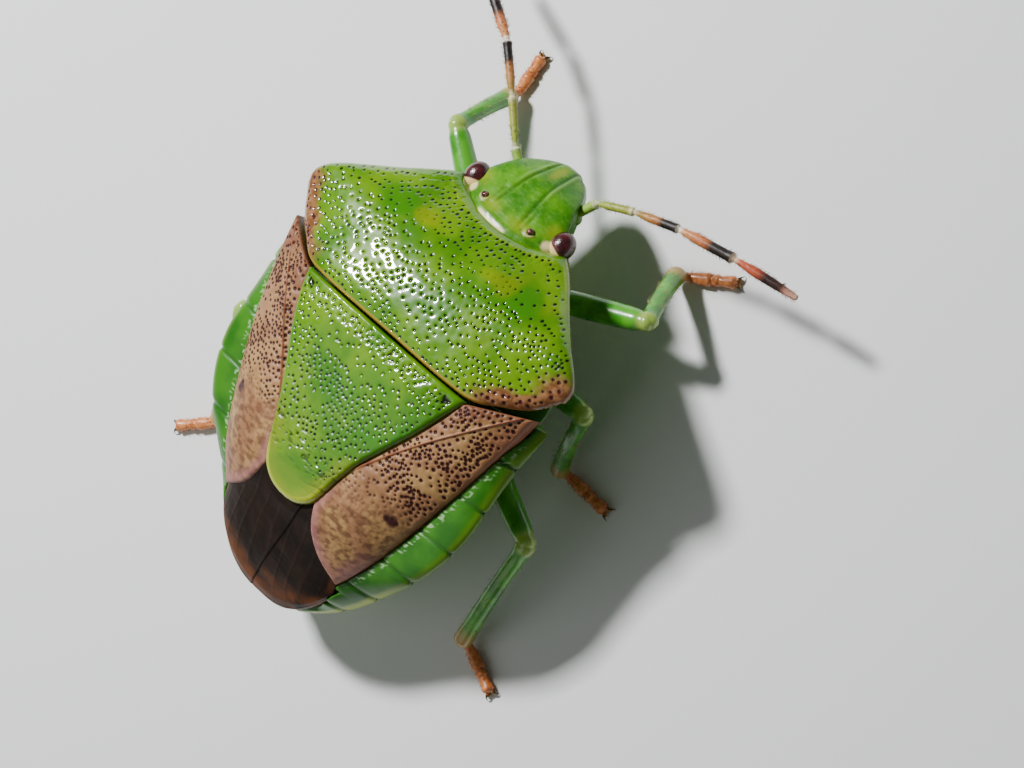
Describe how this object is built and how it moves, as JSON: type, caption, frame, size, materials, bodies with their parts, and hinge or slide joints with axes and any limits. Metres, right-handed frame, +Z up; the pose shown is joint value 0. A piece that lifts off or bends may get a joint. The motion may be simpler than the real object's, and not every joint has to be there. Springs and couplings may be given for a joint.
{
  "type": "shield bug",
  "caption": "Green shield bug with brown punctured forewings, a life-size still model standing on six legs with its feelers spread.",
  "frame": {"origin": "on the floor, under the middle of the outline", "axes": "+X the way the head points, +Y the bug's left, +Z up"},
  "size_m": [0.0116, 0.0094, 0.004],
  "materials": {
    "shield_green": "glossy yellow-green cuticle with fine dark pits",
    "head_green": "satin green cuticle with fine lines",
    "body_green": "satin green cuticle",
    "wing_brown": "satin pinkish-brown leathery wing with dark brown pits",
    "wing_membrane": "smooth dark brown membrane with raised veins",
    "eye_red": "glossy faceted dark red-brown",
    "feeler_brown": "green, orange-brown and black bands with short hairs",
    "leg_green": "glossy, slightly clear green",
    "foot_brown": "satin orange-brown"
  },
  "bodies": {
    "root": {"pronotum": "shield_green", "scutellum": "shield_green", "head": "head_green", "thorax": "body_green", "abdomen": "body_green", "beak": "foot_brown", "corium_left": "wing_brown", "corium_right": "wing_brown", "membrane_left": "wing_membrane", "membrane_right": "wing_membrane", "eye_left": "eye_red", "eye_right": "eye_red", "antenna_left": "feeler_brown", "antenna_right": "feeler_brown", "femur_fore_left": "leg_green", "femur_fore_right": "leg_green", "femur_mid_left": "leg_green", "femur_mid_right": "leg_green", "femur_hind_left": "leg_green", "femur_hind_right": "leg_green", "tibia_fore_left": "leg_green", "tibia_fore_right": "leg_green", "tibia_mid_left": "leg_green", "tibia_mid_right": "leg_green", "tibia_hind_left": "leg_green", "tibia_hind_right": "leg_green", "tarsus_fore_left": "foot_brown", "tarsus_fore_right": "foot_brown", "tarsus_mid_left": "foot_brown", "tarsus_mid_right": "foot_brown", "tarsus_hind_left": "foot_brown", "tarsus_hind_right": "foot_brown"}
  },
  "joints": []
}
